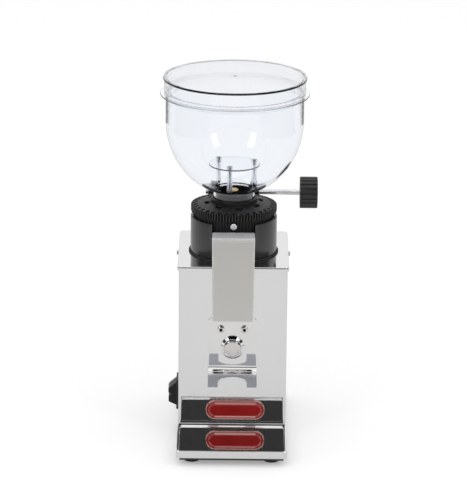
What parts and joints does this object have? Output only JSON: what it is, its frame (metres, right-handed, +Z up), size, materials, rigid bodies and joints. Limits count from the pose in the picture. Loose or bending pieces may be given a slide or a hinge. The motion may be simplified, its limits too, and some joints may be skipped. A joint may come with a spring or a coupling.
{
  "type": "espresso grinder",
  "caption": "Upright coffee grinder with a clear hopper, a worm-driven grind wheel, a sloping chute, a fork over a drip tray and a polished steel body.",
  "frame": {"origin": "middle of the outer box, on the floor that the feet stand on", "axes": "+Z up along the burr axis, -Y towards the user (the chute, button and tray side), +X towards the adjusting knob"},
  "size_m": [0.1622, 0.2118, 0.3674],
  "materials": {
    "rubber": "matt moulded rubber",
    "polished_steel": "mirror-polished stainless sheet",
    "chute_steel": "satin stainless sheet with polished edges",
    "black_metal": "satin black paint",
    "black_plastic": "moulded black plastic",
    "clear_plastic": "clear moulded plastic",
    "red_enamel": "clear doming over red, plain",
    "chrome": "bright plating",
    "tool_steel": "ground steel",
    "brass": "turned, golden",
    "copper": "varnished copper wire",
    "cast_aluminium": "as cast",
    "zinc_steel": "zinc plated"
  },
  "bodies": {
    "machine": {"foot_front_left": "rubber", "foot_front_right": "rubber", "foot_rear_left": "rubber", "foot_rear_right": "rubber", "housing_gasket": "rubber", "body_shell": "polished_steel", "rear_cover": "polished_steel", "top_plate": "polished_steel", "fork_bracket": "polished_steel", "chute": "chute_steel", "base_plate": "black_metal", "grinder_housing": "black_metal", "worm_bracket": "black_metal", "rocker_bezel": "black_plastic", "microswitch": "black_plastic", "terminal_block": "black_plastic", "cord_inlet": "black_plastic", "badge_plate": "red_enamel", "button_bezel": "chrome", "fork_screw_left": "chrome", "fork_screw_right": "chrome", "button_spring": "tool_steel", "upper_bearing": "tool_steel", "lower_bearing": "tool_steel", "upper_winding": "copper", "lower_winding": "copper", "motor_top_bracket": "cast_aluminium", "motor_lower_bracket": "cast_aluminium", "run_capacitor": "cast_aluminium", "motor_stator": "zinc_steel", "motor_bolt_1": "zinc_steel", "motor_bolt_2": "zinc_steel", "plate_screw_left": "zinc_steel", "plate_screw_right": "zinc_steel", "cover_screw_1": "zinc_steel", "cover_screw_2": "zinc_steel", "cover_screw_3": "zinc_steel", "cover_screw_4": "zinc_steel"},
    "drive": {"drive_shaft": "tool_steel", "motor_rotor": "zinc_steel", "burr_rotor": "cast_aluminium", "inner_burr": "tool_steel", "burr_nut": "brass"},
    "adjuster": {"burr_carrier": "black_plastic", "adjusting_wheel": "black_plastic", "hopper_collar": "black_plastic", "outer_burr": "tool_steel", "stop_screw": "chrome", "hopper_bowl": "clear_plastic", "finger_guard": "clear_plastic", "guard_screw_1": "black_plastic", "guard_screw_2": "black_plastic", "guard_screw_3": "black_plastic"},
    "cap": {"hopper_lid": "clear_plastic"},
    "worm": {"worm_shaft": "tool_steel", "adjusting_knob": "black_plastic", "worm_clip": "tool_steel"},
    "button": {"start_button": "chrome"},
    "rocker": {"rocker_key": "black_plastic"},
    "tray": {"grounds_tray": "polished_steel"}
  },
  "joints": [
    {"name": "burr_drive", "type": "hinge", "parent": "machine", "child": "drive", "pos_m": [-0.0055, 0.03035, 0.19], "axis": [0, 0, 1], "continuous": true},
    {"name": "worm_turn", "type": "hinge", "parent": "machine", "child": "worm", "pos_m": [-0.0055, 0.07885, 0.2324], "axis": [1, 0, 0], "range_deg": [-2160, 2160]},
    {"name": "adjuster_turn", "type": "hinge", "parent": "machine", "child": "adjuster", "pos_m": [-0.0055, 0.03035, 0.2304], "axis": [0, 0, 1], "range_deg": [-24, 24]},
    {"name": "cap_lift", "type": "slide", "parent": "adjuster", "child": "cap", "axis": [0, 0, 1], "range_m": [0, 0.06]},
    {"name": "button_press", "type": "slide", "parent": "machine", "child": "button", "axis": [0, 1, 0], "range_m": [0, 0.003], "stiffness_N_per_m": 900, "springref_m": -0.002},
    {"name": "rocker_tilt", "type": "hinge", "parent": "machine", "child": "rocker", "pos_m": [-0.0598, -0.00165, 0.0417], "axis": [0, 1, 0], "range_deg": [0, 16]},
    {"name": "tray_slide", "type": "slide", "parent": "machine", "child": "tray", "axis": [0, -1, 0], "range_m": [0, 0.08]}
  ],
  "couplings": [
    {"joint": "adjuster_turn", "follows": "worm_turn", "ratio": 0.011111}
  ]
}
